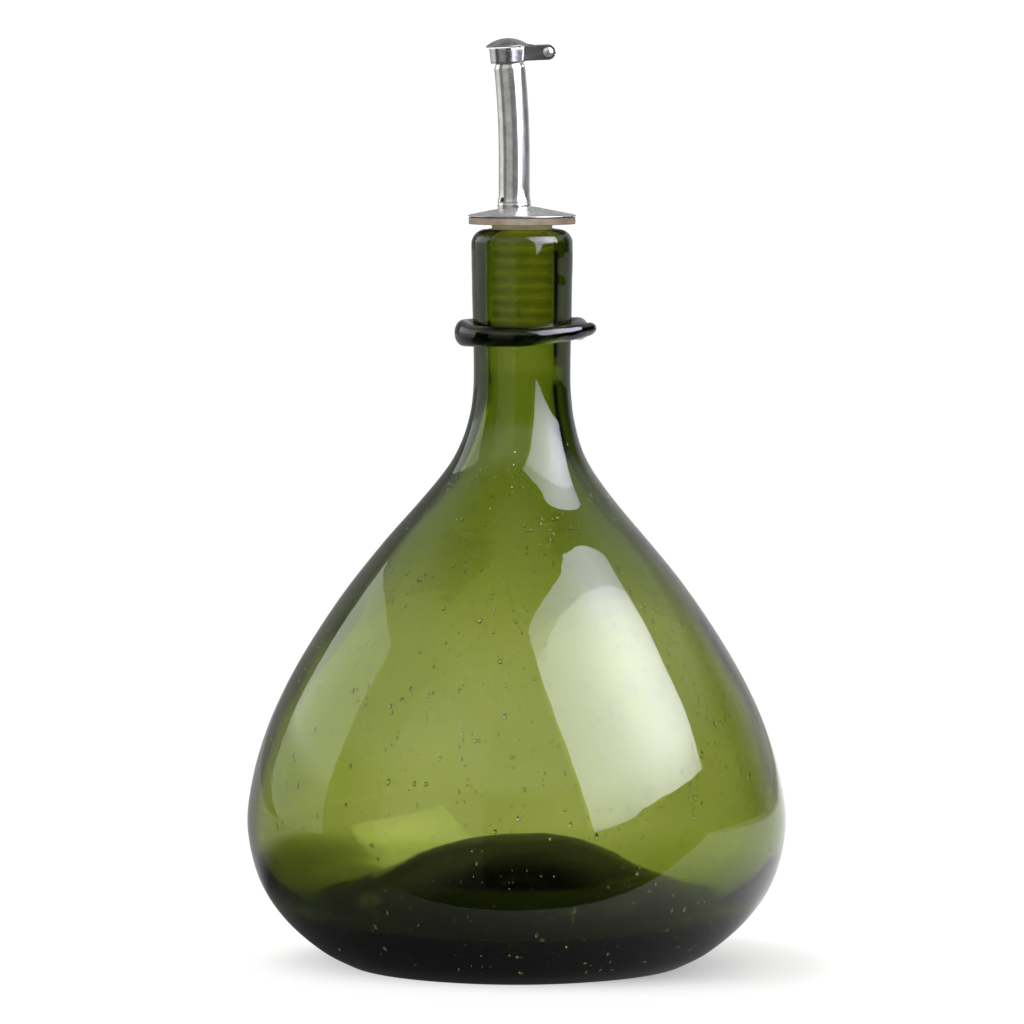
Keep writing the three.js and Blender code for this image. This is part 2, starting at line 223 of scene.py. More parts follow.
class Nodes:
    """A material's node tree, built one node at a time. Every pattern runs in metres."""

    def __init__(self, name):
        self.material = bpy.data.materials.new(name)
        self.material.use_nodes = True
        self.tree = self.material.node_tree
        self.shader = self.tree.nodes["Principled BSDF"]
        self.out = self.tree.nodes["Material Output"]
        self.place = self.tree.nodes.new("ShaderNodeTexCoord").outputs["Object"]

    def set(self, **values):
        """Sets inputs of the shader, their spaces written as underscores."""
        for name, value in values.items():
            self.shader.inputs[name.replace("_", " ")].default_value = value

    def add(self, kind, links=None, **settings):
        """A new node: links gives its inputs, as sockets or as plain values."""
        node = self.tree.nodes.new(kind)
        for name, value in settings.items():
            setattr(node, name, value)
        for name, value in (links or {}).items():
            if isinstance(value, bpy.types.NodeSocket):
                self.tree.links.new(value, node.inputs[name])
            else:
                node.inputs[name].default_value = value
        return node

    def stretched(self, scale):
        return self.add("ShaderNodeMapping", {"Vector": self.place, "Scale": scale}).outputs[0]

    def noise(self, scale, detail=3.0, roughness=0.5, vector=None):
        links = {"Scale": scale, "Detail": detail, "Roughness": roughness}
        links["Vector"] = self.place if vector is None else vector
        return self.add("ShaderNodeTexNoise", links).outputs["Fac"]

    def spread(self, value, low, high, to_low, to_high):
        """Turns one range of a socket's value into another."""
        links = {"Value": value, "From Min": low, "From Max": high}
        links.update({"To Min": to_low, "To Max": to_high})
        return self.add("ShaderNodeMapRange", links).outputs["Result"]

    def ramp(self, value, *stops):
        node = self.add("ShaderNodeValToRGB", {"Fac": value})
        elements = node.color_ramp.elements
        while len(elements) < len(stops):
            elements.new(0.5)
        for element, (at, colour) in zip(elements, stops):
            element.position = at
            element.color = (*colour, 1)
        return node.outputs["Color"]

    def bump(self, height, strength, distance, below=None):
        links = {"Height": height, "Strength": strength, "Distance": distance}
        if below is not None:
            links["Normal"] = below
        return self.add("ShaderNodeBump", links).outputs["Normal"]

    def feed(self, name, value):
        """Links a socket to an input of the shader."""
        self.tree.links.new(value, self.shader.inputs[name])


# ---------- materials ----------

FILM_TOP = 30 * MM  # the film of oil inside the base thins out up to here
FILM_BOTTOM = 19 * MM
FILM_ROUGHNESS = 0.17
FLANGE_BOTTOM = 210.5 * MM
RIB_PITCH = 3.4 * MM
FIRST_RIB = stopper_low.z + 2.4 * MM


def glass_material(name, density, tint):
    """Green glass, coloured by its depth, with ripples from the blowing.

    A film of old oil dulls the inside of the base.
    """
    n = Nodes(name)
    n.set(Base_Color=(1, 1, 1, 1), Transmission_Weight=1.0, IOR=1.5)
    height = n.add("ShaderNodeSeparateXYZ", {"Vector": n.place}).outputs["Z"]
    low = n.spread(height, FILM_TOP, FILM_BOTTOM, 0.0, FILM_ROUGHNESS)
    inner = n.add("ShaderNodeAttribute", attribute_name="inner").outputs["Fac"]
    film = n.add("ShaderNodeMath", {0: low, 1: inner}, operation="MULTIPLY").outputs[0]
    smear = n.spread(n.noise(55, 3), 0.45, 0.8, 0.0, 0.03)
    n.feed("Roughness", n.add("ShaderNodeMath", {0: film, 1: smear}).outputs[0])
    ripples = n.noise(1.0, 2.0, vector=n.stretched((45, 45, 160)))
    n.feed("Normal", n.bump(ripples, 0.05, 0.5 * MM))
    volume = n.add("ShaderNodeVolumeAbsorption", {"Color": (*tint, 1), "Density": density})
    n.tree.links.new(volume.outputs["Volume"], n.out.inputs["Volume"])
    return n.material


def steel_material(name, colour, rough, grain, dark=0.75, metallic=0.9):
    """Stainless steel: fine drawn marks, faint smears and small dings.

    The grain is how often the marks repeat along X, Y and Z, and dark is the smears' share of
    the colour.
    """
    n = Nodes(name)
    n.set(Metallic=metallic)
    smear = n.noise(260, 5, 0.6)
    grey = [c * dark for c in colour]
    n.feed("Base Color", n.ramp(smear, (0.3, grey), (0.62, colour)))
    marks = n.noise(1.0, 4.0, 0.65, n.stretched(grain))
    n.feed("Roughness", n.spread(marks, 0.3, 0.75, rough * 0.7, rough * 1.5))
    dings = n.bump(n.noise(700, 2), 0.06, 0.15 * MM)
    n.feed("Normal", n.bump(marks, 0.08, 0.03 * MM, dings))
    return n.material


def plastic_material(name):
    """Translucent tan moulded plastic, a little stained by oil.

    The plug is paler than the flange, whose darker colour is painted shade, and the grooves are
    painted darker than the ribs as painted shade.
    """
    n = Nodes(name)
    stain = n.noise(170, 5, 0.6)
    plug = n.ramp(stain, (0.28, (0.62, 0.56, 0.37)), (0.5, (0.72, 0.66, 0.46)),
                  (0.72, (0.78, 0.73, 0.54)))
    # painted shade: the flange gets a far darker colour than the plug
    flange = n.ramp(stain, (0.28, (0.14, 0.09, 0.055)), (0.5, (0.21, 0.17, 0.13)),
                    (0.72, (0.29, 0.26, 0.21)))
    waves = 2 * math.pi / RIB_PITCH
    # At a scale of 1 the wave texture runs through 20 radians in a metre.
    bands = n.add("ShaderNodeTexWave", {"Vector": n.place, "Scale": waves / 20, "Distortion": 0.6,
                                        "Phase Offset": math.pi - waves * FIRST_RIB},
                  bands_direction="Z").outputs["Fac"]
    # painted shade in the grooves: between the ribs the plug's colour is mixed towards a dark tan
    groove_shade = n.add("ShaderNodeMix", {"Factor": bands}, data_type="RGBA")
    groove_shade.inputs[6].default_value = (0.43, 0.4, 0.2, 1)
    n.tree.links.new(plug, groove_shade.inputs[7])
    height = n.add("ShaderNodeSeparateXYZ", {"Vector": n.place}).outputs["Z"]
    # above the flange's underside the colour switches to the flange's painted shade
    top = n.spread(height, FLANGE_BOTTOM - 1.2 * MM, FLANGE_BOTTOM, 0.0, 1.0)
    both = n.add("ShaderNodeMix", {"Factor": top}, data_type="RGBA")
    n.tree.links.new(groove_shade.outputs[2], both.inputs[6])
    n.tree.links.new(flange, both.inputs[7])
    n.feed("Base Color", both.outputs[2])
    n.set(Transmission_Weight=0.3, IOR=1.15)
    n.feed("Roughness", n.spread(n.noise(420, 4), 0.3, 0.7, 0.32, 0.55))
    n.feed("Normal", n.bump(n.noise(900, 4), 0.15, 0.05 * MM))
    return n.material


green_glass = glass_material("green_glass", 520.0, (0.549, 0.608, 0.04))
# painted shade: the ring's glass takes up far more light than the bottle's, though both are the
# same glass
ring_glass = glass_material("ring_glass", 1300.0, (0.53, 0.6, 0.1))
spout_steel = steel_material("spout_steel", (0.78, 0.765, 0.755), 0.17, (900, 900, 40), 0.75)
disc_steel = steel_material("disc_steel", (0.5, 0.49, 0.48), 0.3, (500, 500, 500))
# painted shade: the lid's steel is given a much darker colour than the other steel, for the shade
# it shows
lid_steel = steel_material("lid_steel", (0.26, 0.255, 0.25), 0.3, (500, 500, 500), 0.65, 0.85)
ear_steel = steel_material("ear_steel", (0.74, 0.73, 0.72), 0.2, (200, 60, 900), 0.8, 0.97)
rivet_steel = steel_material("rivet_steel", (0.85, 0.85, 0.85), 0.2, (600, 600, 600))
plastic = plastic_material("stopper_plastic")


def finish_piece(piece, body, material, slot, *nodes):
    """Gives a piece its material and its body, and says what it replaces."""
    piece.data.materials.clear()
    piece.data.materials.append(material)
    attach(piece, body)
    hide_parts(*nodes)
    return piece


# ---------- bottle ----------

BOTTLE_SIDES = 160
LOOSE_BUBBLES = 2200
BUBBLE_STRINGS = 70
LARGE_BUBBLE = 0.34  # mm; from this size on a bubble has the finer shape
BUBBLE_DEPTH = 0.5  # of its width
RANDOM = random.Random(11)


def wall_at(height):
    """Thickness of the wall: thin at the belly, thick at the neck and the heel."""
    neck = smoothstep(height, 85 * MM, 165 * MM)
    heel = 1 - smoothstep(height, 8 * MM, 36 * MM)
    return lerp(BELLY_WALL, NECK_WALL, neck) + HEEL_WALL * heel


def outward(curve):
    """Unit normals of a (radius, height) curve that runs up the outside."""
    along = np.gradient(curve, axis=0)
    along /= np.linalg.norm(along, axis=1)[:, None]
    return np.column_stack([along[:, 1], -along[:, 0]])


outer_wall = spline(BODY, 130)
outer_normal = outward(outer_wall)
inner_wall = outer_wall - outer_normal * np.array([wall_at(z) for z in outer_wall[:, 1]])[:, None]


def lean(height):
    """How far the neck stands to +X of the body's axis."""
    return NECK_X * smoothstep(height, LEAN_BOTTOM, LEAN_TOP)


def unevenness(point, inside):
    """How far a hand-blown wall stands off its true shape.

    Inside runs from 0 on the outer face to 1 on the inner one. Three sizes of wave are added up:
    broad, middling and fine. They fade out at the foot, so the bottle stands flat.
    """
    neck = smoothstep(point.z, 120 * MM, 165 * MM)
    foot = smoothstep(point.z, 0.5 * MM, 9 * MM)
    shifted = point + Vector((0.09, 0.05, 0.03)) * inside
    slow = noise.noise(shifted / (38 * MM))
    middle_wave = noise.noise(shifted / (lerp(15, 9, neck) * MM) + Vector((7, 3, 1)))
    fine = noise.noise(Vector((shifted.x, shifted.y, shifted.z * 1.6)) / (6 * MM))
    outer = slow * 0.16 + middle_wave * lerp(0.035, 0.09, neck) + fine * lerp(0.003, 0.012, neck)
    inner = slow * lerp(0.5, 0.16, neck) + middle_wave * lerp(0.1, 0.08, neck)
    return lerp(outer, inner, inside) * foot * MM


def bottle_outline():
    """The closed outline of the glass, from the punt's crown outside to its crown inside."""
    lip_centre = (LIP_RADIUS - LIP_ROUND, LIP_TOP - LIP_ROUND)
    mouth_centre = (BORE_RADIUS + MOUTH_ROUND, LIP_TOP - MOUTH_ROUND)
    inner = inner_wall[(inner_wall[:, 1] > FLOOR_JOIN) & (inner_wall[:, 1] < BORE_BOTTOM - 2 * MM)]
    bore = np.column_stack([np.full(12, BORE_RADIUS),
                            np.linspace(LIP_TOP - 2 * MOUTH_ROUND, BORE_BOTTOM, 12)])
    parts = [
        (spline(UNDERSIDE, 32), 0.0),
        (outer_wall[1:-1], 0.0),
        (arc(lip_centre, LIP_ROUND, 4, 90, 14), 0.3),
        (arc(mouth_centre, MOUTH_ROUND, 90, 180, 5)[1:], 0.7),
        (bore, 1.0),
        (inner[::-1], 1.0),
        (spline(FLOOR, 50), 1.0),
    ]
    outline = np.vstack([p for p, _ in parts])
    inside = np.concatenate([np.full(len(p), w) for p, w in parts])
    blur = np.ones(9) / 9
    return outline, np.convolve(np.pad(inside, 4, mode="edge"), blur, mode="valid")


def bottle_shell():
    """The wall of the bottle, and for each vertex how far it is on the inside."""
    outline, inside = bottle_outline()
    outline[0][0] = 0
    outline[-1][0] = 0
    vertices, faces = turned(outline, BOTTLE_SIDES)
    normals = outward(outline)
    index = 0
    inner = []
    for (r, z), (nr, nz), share in zip(outline, normals, inside):
        for k in range(1 if r < ON_AXIS else BOTTLE_SIDES):
            a = 2 * math.pi * k / BOTTLE_SIDES
            point = Vector(vertices[index])
            step = unevenness(point, share)
            away = Vector((nr * math.cos(a), nr * math.sin(a), nz))
            if r < ON_AXIS:
                away = Vector((0, 0, -1 if share < 0.5 else 1))
            moved = point + away * step
            moved.x += lean(moved.z)
            moved.z = max(moved.z, 0.0)
            vertices[index] = moved
            inner.append(share)
            index += 1
    return vertices, faces, inner


def bubble_shape(level):
    """A ball whose faces look inwards, as the wall of an empty space in the glass."""
    ball = bmesh.new()
    bmesh.ops.create_icosphere(ball, subdivisions=level, radius=1.0)
    vertices = np.array([v.co[:] for v in ball.verts])
    faces = [tuple(v.index for v in f.verts)[::-1] for f in ball.faces]
    ball.free()
    return vertices, faces


def bubble(where, turn, depth, size, stretch, shape):
    """One seed bubble in the wall: where along it, which way round, how deep, how big."""
    i = int(where * (len(outer_wall) - 1))
    (r, z), (nr, nz) = outer_wall[i], outer_normal[i]
    wall = wall_at(z)
    radial = Vector((math.cos(turn), math.sin(turn), 0))
    normal = radial * nr + Vector((0, 0, nz))
    around = Vector((-math.sin(turn), math.cos(turn), 0))
    up = normal.cross(around)
    size = min(size, 0.3 * wall)
    centre = radial * r + Vector((0, 0, z)) - normal * (wall * lerp(0.36, 0.64, depth))
    centre.x += lean(z)
    axes = np.array([up * (size * stretch), around * size, normal * (size * BUBBLE_DEPTH)])
    vertices, faces = shape
    return vertices @ axes + np.array(centre), faces


def bubble_places():
    """Loose bubbles over the whole wall, and short strings of them: where, turn and size in mm.

    More of them are on the side towards -Y and +X.
    """
    places = []
    for _ in range(LOOSE_BUBBLES):
        size = 0.18 + 0.42 * RANDOM.random() ** 5
        turn = RANDOM.uniform(0, 2 * math.pi)
        if RANDOM.random() < 0.4:
            turn = RANDOM.gauss(-0.5, 0.9)
        places.append((RANDOM.uniform(0.04, 0.74), turn, size))
    for _ in range(BUBBLE_STRINGS):
        where, turn = RANDOM.uniform(0.2, 0.72), RANDOM.gauss(-0.6, 1.6)
        drift = RANDOM.uniform(-0.03, 0.03)
        for step in range(RANDOM.randint(3, 8)):
            size = 0.18 + 0.3 * RANDOM.random() ** 2
            places.append((where + 0.011 * step + RANDOM.uniform(-0.004, 0.004),
                           turn + drift * step, size))
    return places


def make_bottle():
    """The wall and its bubbles as one mesh, so that the glass between them is one solid."""
    vertices, faces, inner = bottle_shell()
    all_vertices = [vertices]
    all_faces = list(faces)
    count = len(vertices)
    small, large = bubble_shape(1), bubble_shape(2)
    for where, turn, size in bubble_places():
        shape = small if size < LARGE_BUBBLE else large
        depth, stretch = RANDOM.random(), RANDOM.uniform(1.0, 1.9)
        more, more_faces = bubble(where, turn, depth, size * MM, stretch, shape)
        all_vertices.append(more)
        all_faces += [tuple(v + count for v in f) for f in more_faces]
        count += len(more)
    piece = new_object("bottle_glass", np.vstack(all_vertices), all_faces)
    attribute = piece.data.attributes.new("inner", "FLOAT", "POINT")
    attribute.data.foreach_set("value", inner + [0.0] * (count - len(inner)))
    return finish_piece(piece, "bottle", green_glass, "green_glass", "bottle")


# ---------- trail of glass round the neck ----------

TRAIL_NECK_RADIUS = 14.25 * MM
TRAIL_HEIGHT = (ring_low.z + ring_high.z) / 2 - 0.3 * MM
# Stations: angle from +X in degrees, rise, half height, thickness and stand-off in mm.
TRAIL = np.array([
    (-44, 0.5, 0.5, 0.8, 0), (-30, 0.8, 1.5, 2.2, 0), (-12, 1.0, 2.6, 4.2, 0),
    (20, 1.1, 3.2, 5.1, 0), (90, 0.5, 3.4, 4.9, 0), (180, 0.1, 3.7, 4.9, 0),
    (222, -0.4, 3.0, 4.6, 0), (270, -0.4, 2.65, 4.4, 0), (312, 0.4, 2.4, 4.1, 0.5),
    (336, 1.1, 2.1, 3.7, 2.4), (348, 1.4, 1.85, 3.1, 3.8), (355, 1.5, 1.4, 2.3, 4.6),
    (359, 1.5, 0.7, 1.2, 5.3),
])


def make_neck_ring():
    """The trail swept through its stations, then melted into one where its end overlaps."""
    sides, steps = 28, 260
    vertices, faces = [], []
    for i in range(steps + 1):
        angle = lerp(TRAIL[0][0], TRAIL[-1][0], i / steps)
        k = min(int(np.searchsorted(TRAIL[:, 0], angle, side="right")) - 1, len(TRAIL) - 2)
        t = (angle - TRAIL[k][0]) / (TRAIL[k + 1][0] - TRAIL[k][0])
        t = (t + t * t * (3 - 2 * t)) / 2
        rise, half, thick, off = lerp(TRAIL[k][1:], TRAIL[k + 1][1:], t) * MM
        turn = math.radians(angle)
        wobble = 1 + 0.05 * noise.noise(Vector((angle / 23, 0, 0)))
        centre = TRAIL_NECK_RADIUS + off + thick / 2
        for s in range(sides):
            a = 2 * math.pi * s / sides
            radius = centre + math.cos(a) * thick / 2
            height = TRAIL_HEIGHT + rise + math.sin(a) * half * wobble
            vertices.append((radius * math.cos(turn), radius * math.sin(turn), height))
    for i in range(steps):
        for s in range(sides):
            m = (s + 1) % sides
            a, b = i * sides, (i + 1) * sides
            faces.append((a + s, a + m, b + m, b + s))
    faces.append(tuple(range(sides))[::-1])
    faces.append(tuple(range(steps * sides, (steps + 1) * sides)))
    piece = new_object("neck_trail", vertices, faces)
    remesh = piece.modifiers.new("melt", "REMESH")
    remesh.mode = "VOXEL"
    remesh.voxel_size = 0.22 * MM
    soften = piece.modifiers.new("soften", "SMOOTH")
    soften.factor = 0.5
    soften.iterations = 6
    bake(piece)
    piece.data.transform(Matrix.Translation((NECK_X, 0, 0)))
    return finish_piece(piece, "bottle", ring_glass, "ring_glass", "neck_ring")


# ---------- stopper ----------

TUBE_RADIUS = 4.4 * MM
TUBE_OFFSET = -2.2 * MM
TUBE_AXIS = NECK_X + TUBE_OFFSET
PLUG_BOTTOM = stopper_low.z
CORE_RADIUS = 8.35 * MM
RIB_RADIUS = 8.9 * MM
RIB_COUNT = 8
FLANGE_TOP = disc_low.z - 0.3 * MM
FLANGE_RADIUS = (stopper_high.x - stopper_low.x) / 2
HUB_RADIUS = 3.4 * MM
SHEET = 0.5 * MM


def drill(piece, radius, low, high, x):
    """Cuts a round hole along Z through a piece."""
    vertices, faces = turned([(0, low), (radius, low), (radius, high), (0, high)], 64)
    cutter = new_object("cutter", vertices + np.array([x, 0, 0]), faces)
    return boolean(piece, cutter, "DIFFERENCE")


def make_stopper():
    """The plug with its ribs, the flange, and the hub that the disc sits on."""
    corners = [(0, PLUG_BOTTOM), (CORE_RADIUS - 0.9 * MM, PLUG_BOTTOM)]
    for i in range(RIB_COUNT):
        z = PLUG_BOTTOM + MM + i * RIB_PITCH
        corners += [(CORE_RADIUS, z), (RIB_RADIUS, z + 1.25 * MM), (RIB_RADIUS, z + 1.6 * MM),
                    (CORE_RADIUS, z + 2.0 * MM)]
    top = FLANGE_TOP + disc_high.z - disc_low.z - SHEET
    corners += [(CORE_RADIUS + 0.3 * MM, FLANGE_BOTTOM), (FLANGE_RADIUS, FLANGE_BOTTOM),
                (FLANGE_RADIUS, FLANGE_TOP), (HUB_RADIUS, top), (0, top)]
    outline = rounded(corners, 0.3 * MM, 4, closed=False)
    vertices, faces = turned(outline, 96)
    piece = new_object("stopper_moulding", vertices + np.array([NECK_X, 0, 0]), faces, 40)
    drill(piece, TUBE_RADIUS + 0.1 * MM, PLUG_BOTTOM - MM, top + MM, TUBE_AXIS)
    return finish_piece(piece, "pourer", plastic, "stopper_plastic", "stopper")


# ---------- drip disc ----------

def make_disc():
    """A shallow cone of sheet with a hole for the tube's foot."""
    rise = disc_high.z - disc_low.z - SHEET
    low = disc_low.z
    top = rounded([(0, low + rise + SHEET), (HUB_RADIUS, low + rise + SHEET),
                   (DISC_RADIUS - 0.6 * MM, low + SHEET * 1.15), (DISC_RADIUS, low + SHEET * 0.6),
                   (DISC_RADIUS, low)], 1.4 * MM, 8, closed=False)
    under = rounded([(DISC_RADIUS, low), (DISC_RADIUS - SHEET, low), (HUB_RADIUS, low + rise),
                     (0, low + rise)], 0.5 * MM, 4, closed=False)
    outline = np.vstack([top, under[1:]])[::-1]
    vertices, faces = turned(outline, 128)
    piece = new_object("disc_pressing", vertices + np.array([NECK_X, 0, 0]), faces, 50)
    drill(piece, FOOT_RADIUS + 0.05 * MM, low - MM, low + 6 * MM, TUBE_AXIS)
    return finish_piece(piece, "pourer", disc_steel, "disc_steel", "drip_disc")


# ---------- pour tube and breather ----------

TUBE_WALL = 0.6 * MM
TUBE_BOTTOM = tube_low.z
BEND_START = 229 * MM
BEND_RADIUS = 250 * MM
TUBE_TOP = 260.2 * MM  # measured along the tube before it is bent
TIP_RADIUS = 3.85 * MM
COLLAR_HEIGHT = 4.3 * MM
BEAD_HEIGHT = 216.4 * MM
FOOT_RADIUS = 4.75 * MM
VENT_RADIUS = 0.8 * MM
VENT_HEIGHT = 217.4 * MM
VENT_TURN = math.radians(40)  # from -X towards the front


def bend(points, start=BEND_START, radius=BEND_RADIUS):
    """Bends what stands above a height towards -X, round the tube's own axis."""
    out = np.array(points, float)
    above = out[:, 2] > start
    turn = (out[above, 2] - start) / radius
    reach = radius + out[above, 0]
    out[above, 0] = reach * np.cos(turn) - radius
    out[above, 2] = start + reach * np.sin(turn)
    return out


def make_pour_tube():
    """A bent tube, drawn in at the tip, with a bead at its foot and the breather's hole."""
    inside = TUBE_RADIUS - TUBE_WALL
    neck_in = TUBE_TOP - COLLAR_HEIGHT
    flare = rounded([(TUBE_RADIUS, disc_low.z), (FOOT_RADIUS, disc_high.z - 0.4 * MM),
                     (FOOT_RADIUS, BEAD_HEIGHT - 0.3 * MM), (FOOT_RADIUS - 0.12 * MM, BEAD_HEIGHT),
                     (FOOT_RADIUS, BEAD_HEIGHT + 0.35 * MM), (TUBE_RADIUS, BEAD_HEIGHT + 1.8 * MM)],
                    0.9 * MM, 5, closed=False)
    shaft = np.column_stack([np.full(60, TUBE_RADIUS),
                             np.linspace(BEND_START - 8 * MM, neck_in - 1.2 * MM, 60)])
    tip = arc((TIP_RADIUS - 0.3 * MM, TUBE_TOP - 0.3 * MM), 0.3 * MM, 0, 180, 8)
    bore = np.column_stack([np.full(60, inside), shaft[::-1, 1]])
    outline = np.vstack([
        [(TUBE_RADIUS - 0.2 * MM, TUBE_BOTTOM), (TUBE_RADIUS, TUBE_BOTTOM + 0.2 * MM)],
        flare,
        shaft,
        [(TIP_RADIUS, neck_in)],
        tip,
        [(TIP_RADIUS - TUBE_WALL, neck_in)],
        bore,
        [(inside, TUBE_BOTTOM)],
    ])
    vertices, faces = turned(outline, 72, closed=True)
    vertices = bend(vertices) + np.array([TUBE_AXIS, 0, 0])
    piece = new_object("spout_tube", vertices, faces, 50)
    hole, hole_faces = turned([(0, 0), (VENT_RADIUS, 0), (VENT_RADIUS, 2 * TUBE_RADIUS),
                               (0, 2 * TUBE_RADIUS)], 32)
    cutter = new_object("vent_hole", hole, hole_faces)
    cutter.data.transform(Matrix.Translation((TUBE_AXIS, 0, VENT_HEIGHT))
                          @ Matrix.Rotation(VENT_TURN, 4, "Z")
                          @ Matrix.Rotation(-math.pi / 2, 4, "Y"))
    boolean(piece, cutter, "DIFFERENCE", 50)
    return finish_piece(piece, "pourer", spout_steel, "spout_steel", "pour_tube")


def carry_vent_tube():
    """The breather tube stays as the CAD has it, with the spout's steel on it."""
    node = frame["nodes"]["vent_tube"]
    node.data.materials.clear()
    node.data.materials.append(spout_steel)


# ---------- tip of the spout ----------

BEND_TURN = (TUBE_TOP - BEND_START) / BEND_RADIUS
TIP_TILT = math.radians(2.3)
TIP = Vector((TUBE_AXIS + BEND_RADIUS * (math.cos(BEND_TURN) - 1), 0,
              BEND_START + BEND_RADIUS * math.sin(BEND_TURN)))
TIP_PLACE = Matrix.Translation(TIP) @ Matrix.Rotation(-TIP_TILT, 4, "Y")
PIVOT = TIP_PLACE.inverted() @ HINGE
COLLAR_TOP_RADIUS = 5.15 * MM
COLLAR_BOTTOM_RADIUS = 4.85 * MM
EAR_MIDDLE = 2.5 * MM
EAR_HALF = 2.2 * MM
EAR_START = 4.3 * MM  # the strip narrows from the collar's height to the ear's from here
EAR_FULL = 5.3 * MM


def sheet_route(radius, ear_end, steps):
    """The middle of the collar's strip seen from above: one ear, round the tube, the other."""
    middle_radius = radius - 0.22 * MM
    start = math.asin(EAR_MIDDLE / middle_radius)
    bend_x = middle_radius * math.cos(start)
    route = [(x, -EAR_MIDDLE) for x in np.linspace(ear_end, bend_x + 0.3 * MM, 26)]
    for a in np.linspace(-start - 0.06, -2 * math.pi + start + 0.06, steps):
        route.append((middle_radius * math.cos(a), middle_radius * math.sin(a)))
    route += [(x, EAR_MIDDLE) for x in np.linspace(bend_x + 0.3 * MM, ear_end, 26)]
    return route


def make_collar():
    """One strip of steel bent round the tip, whose two ends stand out as the hinge's ears."""
    rows, steps = 9, 90
    ear_end = PIVOT.x + EAR_HALF
    top = sheet_route(COLLAR_TOP_RADIUS, ear_end, steps)
    bottom = sheet_route(COLLAR_BOTTOM_RADIUS, ear_end, steps)
    vertices, faces = [], []
    for (xt, yt), (xb, yb) in zip(top, bottom):
        x = (xt + xb) / 2
        ear = smoothstep(x, EAR_START, EAR_FULL)
        low = lerp(-COLLAR_HEIGHT + 0.05 * MM, PIVOT.z - EAR_HALF, ear)
        high = lerp(-0.05 * MM, PIVOT.z + EAR_HALF, ear)
        if x > PIVOT.x:
            half = math.sqrt(max(EAR_HALF ** 2 - (x - PIVOT.x) ** 2, (0.3 * MM) ** 2))
            low, high = PIVOT.z - half, PIVOT.z + half
        for r in range(rows):
            t = r / (rows - 1)
            vertices.append((lerp(xb, xt, t), lerp(yb, yt, t), lerp(low, high, t)))
    count = len(top)
    for i in range(count - 1):
        for r in range(rows - 1):
            a = i * rows + r
            faces.append((a, a + 1, a + rows + 1, a + rows))
    piece = new_object("tip_band", vertices, faces)
    solidify = piece.modifiers.new("sheet", "SOLIDIFY")
    solidify.thickness = 0.45 * MM
    solidify.offset = 0.0
    bevel = piece.modifiers.new("edges", "BEVEL")
    bevel.width = 0.08 * MM
    bevel.segments = 2
    bevel.limit_method = "ANGLE"
    bake(piece, 50)
    piece.data.transform(TIP_PLACE)
    return finish_piece(piece, "pourer", ear_steel, "spout_steel", "tip_collar")


def make_rivet():
    """A pin along Y with a rounded head at each end."""
    half = (rivet_high.y - rivet_low.y) / 2
    shank = half - 0.55 * MM
    pin, head = 0.75 * MM, 1.4 * MM
    corners = [(0, -half), (0.5 * MM, -half), (head, -half + 0.3 * MM), (head, -shank),
               (pin, -shank), (pin, shank), (head, shank), (head, half - 0.3 * MM),
               (0.5 * MM, half), (0, half)]
    vertices, faces = turned(rounded(corners, 0.15 * MM, 3, closed=False), 40)
    piece = new_object("hinge_pin", vertices, faces, 50)
    piece.data.transform(Matrix.Translation(HINGE) @ Matrix.Rotation(math.pi / 2, 4, "X"))
    return finish_piece(piece, "pourer", rivet_steel, "rivet_steel", "hinge_rivet")


def make_lid():
    """A domed cap, its turned rim, and the strap that runs between the ears to the pin."""
    rim, radius, dome = 0.3 * MM, 5.9 * MM, 2.0 * MM
    ball = (radius ** 2 + dome ** 2) / (2 * dome)
    angle = math.degrees(math.asin(radius / ball))
    crown = rim + SHEET + dome
    over = arc((0, crown - ball), ball, 90 - angle, 90, 26)
    under = arc((0, crown - SHEET - ball), ball, 90, 90 - angle, 26)
    edge = arc((radius - 0.1 * MM, rim + SHEET / 2), SHEET / 2, -80, 80, 6)
    under[0][0] = 0
    over[-1][0] = 0
    outline = np.vstack([under[:-1], edge, over[1:]])
    vertices, faces = turned(outline, 96)
    piece = new_object("lid_dome", vertices, faces, 50)

    half = 1.85 * MM
    corners = [(radius - 1.3 * MM, rim + 0.1 * MM), (6.9 * MM, rim - 0.1 * MM),
               (PIVOT.x - 1.2 * MM, PIVOT.z - 0.2 * MM), (PIVOT.x, PIVOT.z - 1.5 * MM),
               (PIVOT.x + 1.55 * MM, PIVOT.z), (PIVOT.x + 0.8 * MM, PIVOT.z + 1.4 * MM),
               (8.3 * MM, PIVOT.z + 1.9 * MM), (7.0 * MM, rim + SHEET),
               (radius - 1.3 * MM, rim + SHEET + 0.3 * MM)]
    outline = rounded(corners, 0.7 * MM, 5)
    count = len(outline)
    vertices = [(x, -half, z) for x, z in outline] + [(x, half, z) for x, z in outline]
    faces = [tuple(range(count)), tuple(range(count, 2 * count))[::-1]]
    for i in range(count):
        m = (i + 1) % count
        faces.append((i, i + count, m + count, m))
    strap = new_object("strap", vertices, faces, 40)
    hole, hole_faces = turned([(0, -4 * MM), (0.8 * MM, -4 * MM), (0.8 * MM, 4 * MM),
                               (0, 4 * MM)], 24)
    pin_hole = new_object("hole", hole, hole_faces)
    pin_hole.data.transform(Matrix.Translation(PIVOT) @ Matrix.Rotation(math.pi / 2, 4, "X"))
    boolean(strap, pin_hole, "DIFFERENCE", 40)
    boolean(piece, strap, "UNION", 45)
    piece.data.transform(TIP_PLACE)
    return finish_piece(piece, "flap", lid_steel, "lid_steel", "flap_lid")


# ---------- studio ----------

CAMERA_PLACE = (-1.3 * MM, -1850 * MM, 262 * MM)
CAMERA_DIP = 4.115  # degrees below the level
CAMERA_LENS = 230


